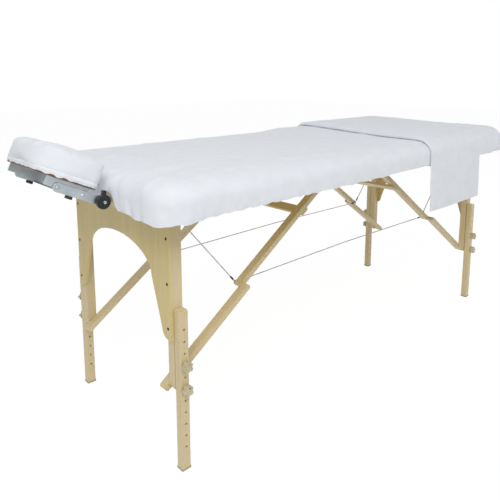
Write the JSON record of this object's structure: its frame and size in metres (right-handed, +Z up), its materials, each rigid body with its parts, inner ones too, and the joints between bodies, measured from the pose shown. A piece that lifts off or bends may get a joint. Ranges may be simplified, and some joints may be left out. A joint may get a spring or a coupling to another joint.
{
  "type": "portable massage table",
  "caption": "Folding massage table with arched wooden end legs, cable-stayed folding braces, made-up sheets and an adjustable face cradle.",
  "frame": {"origin": "middle of the footprint, on the floor under the four feet", "axes": "+X from the head end (face cradle) to the foot end, +Y across the table, +Z up"},
  "size_m": [1.9646, 0.719, 0.8614],
  "materials": {
    "beech": "satin varnish",
    "plywood": "satin varnish",
    "foam": "matt",
    "linen": "plain white weave",
    "steel": "brushed",
    "wire": "stranded wire",
    "black_metal": "black oxide",
    "black_plastic": "moulded",
    "grey_plastic": "moulded",
    "rubber": "moulded",
    "fibreboard": "painted edge"
  },
  "bodies": {
    "head_half": {"head_rails": "beech", "head_deck_panel": "plywood", "head_pad": "foam", "head_fitted_sheet": "linen", "head_hinge_leaf": "steel", "head_pivot_rods": "steel", "head_brace_blocks": "beech", "head_cables": "wire", "cradle_sockets": "steel"},
    "foot_half": {"foot_rails": "beech", "foot_deck_panel": "plywood", "foot_pad": "foam", "foot_fitted_sheet": "linen", "foot_hinge_leaf": "steel", "foot_pivot_rods": "steel", "foot_brace_blocks": "beech", "foot_cables": "wire", "top_sheet": "linen"},
    "hinge_pin": {"hinge_pin": "steel"},
    "head_legs": {"head_upper_legs": "beech", "head_end_panel": "plywood", "head_panel_screws": "black_metal", "head_leg_bolts": "steel"},
    "head_upper_brace": {"head_upper_struts": "beech", "head_crossbar": "beech"},
    "head_lower_brace": {"head_lower_struts": "beech", "head_elbow_bolts": "steel"},
    "head_near_leg_extension": {"head_near_extension": "beech", "head_near_foot_tip": "rubber"},
    "head_near_upper_knob": {"head_near_upper_knob": "grey_plastic"},
    "head_near_lower_knob": {"head_near_lower_knob": "grey_plastic"},
    "head_far_leg_extension": {"head_far_extension": "beech", "head_far_foot_tip": "rubber"},
    "head_far_upper_knob": {"head_far_upper_knob": "grey_plastic"},
    "head_far_lower_knob": {"head_far_lower_knob": "grey_plastic"},
    "foot_legs": {"foot_upper_legs": "beech", "foot_end_panel": "plywood", "foot_panel_screws": "black_metal", "foot_leg_bolts": "steel"},
    "foot_upper_brace": {"foot_upper_struts": "beech", "foot_crossbar": "beech"},
    "foot_lower_brace": {"foot_lower_struts": "beech", "foot_elbow_bolts": "steel"},
    "foot_near_leg_extension": {"foot_near_extension": "beech", "foot_near_foot_tip": "rubber"},
    "foot_near_upper_knob": {"foot_near_upper_knob": "grey_plastic"},
    "foot_near_lower_knob": {"foot_near_lower_knob": "grey_plastic"},
    "foot_far_leg_extension": {"foot_far_extension": "beech", "foot_far_foot_tip": "rubber"},
    "foot_far_upper_knob": {"foot_far_upper_knob": "grey_plastic"},
    "foot_far_lower_knob": {"foot_far_lower_knob": "grey_plastic"},
    "cradle_base": {"cradle_base": "steel", "cradle_pivot_rod": "steel"},
    "cradle_arms": {"cradle_arms": "steel", "cradle_bumpers": "rubber"},
    "cradle_platform": {"platform_brackets": "steel", "platform_board": "fibreboard", "cradle_cushion": "foam", "cradle_cover": "linen"},
    "cam_lever": {"cam_lever": "black_plastic"}
  },
  "joints": [
    {"name": "foot_half_fold", "type": "hinge", "parent": "head_half", "child": "hinge_pin", "pos_m": [0.08582, 0, 0.686], "axis": [0, 1, 0], "range_deg": [0, 90], "deforming": ["foot_cables"]},
    {"name": "head_half_fold", "type": "hinge", "parent": "hinge_pin", "child": "foot_half", "pos_m": [0.08582, 0, 0.686], "axis": [0, 1, 0], "range_deg": [0, 90], "deforming": ["head_cables"]},
    {"name": "foot_leg_fold", "type": "hinge", "parent": "foot_half", "child": "foot_legs", "pos_m": [0.87582, 0, 0.709], "axis": [0, 1, 0], "range_deg": [0, 90]},
    {"name": "foot_upper_brace_fold", "type": "hinge", "parent": "foot_half", "child": "foot_upper_brace", "pos_m": [0.17582, 0, 0.709], "axis": [0, -1, 0], "range_deg": [0, 35.2]},
    {"name": "foot_lower_brace_fold", "type": "hinge", "parent": "foot_legs", "child": "foot_lower_brace", "pos_m": [0.87582, 0, 0.226], "axis": [0, 1, 0], "range_deg": [0, 54.39]},
    {"name": "foot_near_leg_height", "type": "slide", "parent": "foot_legs", "child": "foot_near_leg_extension", "axis": [0, 0, 1], "range_m": [-0.064, 0.16]},
    {"name": "foot_near_upper_knob_turn", "type": "hinge", "parent": "foot_legs", "child": "foot_near_upper_knob", "pos_m": [0.87582, 0, 0.29], "axis": [0, -1, 0], "continuous": true},
    {"name": "foot_near_lower_knob_turn", "type": "hinge", "parent": "foot_legs", "child": "foot_near_lower_knob", "pos_m": [0.87582, 0, 0.226], "axis": [0, -1, 0], "continuous": true},
    {"name": "foot_far_leg_height", "type": "slide", "parent": "foot_legs", "child": "foot_far_leg_extension", "axis": [0, 0, 1], "range_m": [-0.064, 0.16]},
    {"name": "foot_far_upper_knob_turn", "type": "hinge", "parent": "foot_legs", "child": "foot_far_upper_knob", "pos_m": [0.87582, 0, 0.29], "axis": [0, 1, 0], "continuous": true},
    {"name": "foot_far_lower_knob_turn", "type": "hinge", "parent": "foot_legs", "child": "foot_far_lower_knob", "pos_m": [0.87582, 0, 0.226], "axis": [0, 1, 0], "continuous": true},
    {"name": "head_leg_fold", "type": "hinge", "parent": "head_half", "child": "head_legs", "pos_m": [-0.70418, 0, 0.709], "axis": [0, -1, 0], "range_deg": [0, 90]},
    {"name": "head_upper_brace_fold", "type": "hinge", "parent": "head_half", "child": "head_upper_brace", "pos_m": [-0.00418, 0, 0.709], "axis": [0, 1, 0], "range_deg": [0, 35.2]},
    {"name": "head_lower_brace_fold", "type": "hinge", "parent": "head_legs", "child": "head_lower_brace", "pos_m": [-0.70418, 0, 0.226], "axis": [0, -1, 0], "range_deg": [0, 54.39]},
    {"name": "head_near_leg_height", "type": "slide", "parent": "head_legs", "child": "head_near_leg_extension", "axis": [0, 0, 1], "range_m": [-0.064, 0.16]},
    {"name": "head_near_upper_knob_turn", "type": "hinge", "parent": "head_legs", "child": "head_near_upper_knob", "pos_m": [-0.70418, 0, 0.29], "axis": [0, -1, 0], "continuous": true},
    {"name": "head_near_lower_knob_turn", "type": "hinge", "parent": "head_legs", "child": "head_near_lower_knob", "pos_m": [-0.70418, 0, 0.226], "axis": [0, -1, 0], "continuous": true},
    {"name": "head_far_leg_height", "type": "slide", "parent": "head_legs", "child": "head_far_leg_extension", "axis": [0, 0, 1], "range_m": [-0.064, 0.16]},
    {"name": "head_far_upper_knob_turn", "type": "hinge", "parent": "head_legs", "child": "head_far_upper_knob", "pos_m": [-0.70418, 0, 0.29], "axis": [0, 1, 0], "continuous": true},
    {"name": "head_far_lower_knob_turn", "type": "hinge", "parent": "head_legs", "child": "head_far_lower_knob", "pos_m": [-0.70418, 0, 0.226], "axis": [0, 1, 0], "continuous": true},
    {"name": "cradle_slide", "type": "slide", "parent": "head_half", "child": "cradle_base", "axis": [-1, 0, 0], "range_m": [0, 0.09]},
    {"name": "cradle_arm_tilt", "type": "hinge", "parent": "cradle_base", "child": "cradle_arms", "pos_m": [-0.82818, 0, 0.704], "axis": [0, -1, 0], "range_deg": [0, 40]},
    {"name": "cradle_platform_tilt", "type": "hinge", "parent": "cradle_arms", "child": "cradle_platform", "pos_m": [-0.93512, 0, 0.75387], "axis": [0, -1, 0], "range_deg": [0, 35]},
    {"name": "cam_lever_turn", "type": "hinge", "parent": "cradle_base", "child": "cam_lever", "pos_m": [-0.82818, 0, 0.704], "axis": [0, -1, 0], "range_deg": [0, 90]}
  ],
  "couplings": [
    {"joint": "foot_leg_fold", "follows": "foot_half_fold", "ratio": 1},
    {"joint": "foot_upper_brace_fold", "follows": "foot_half_fold", "ratio": 0.39112},
    {"joint": "foot_lower_brace_fold", "follows": "foot_half_fold", "ratio": 0.60433},
    {"joint": "head_leg_fold", "follows": "head_half_fold", "ratio": 1},
    {"joint": "head_upper_brace_fold", "follows": "head_half_fold", "ratio": 0.39112},
    {"joint": "head_lower_brace_fold", "follows": "head_half_fold", "ratio": 0.60433}
  ]
}
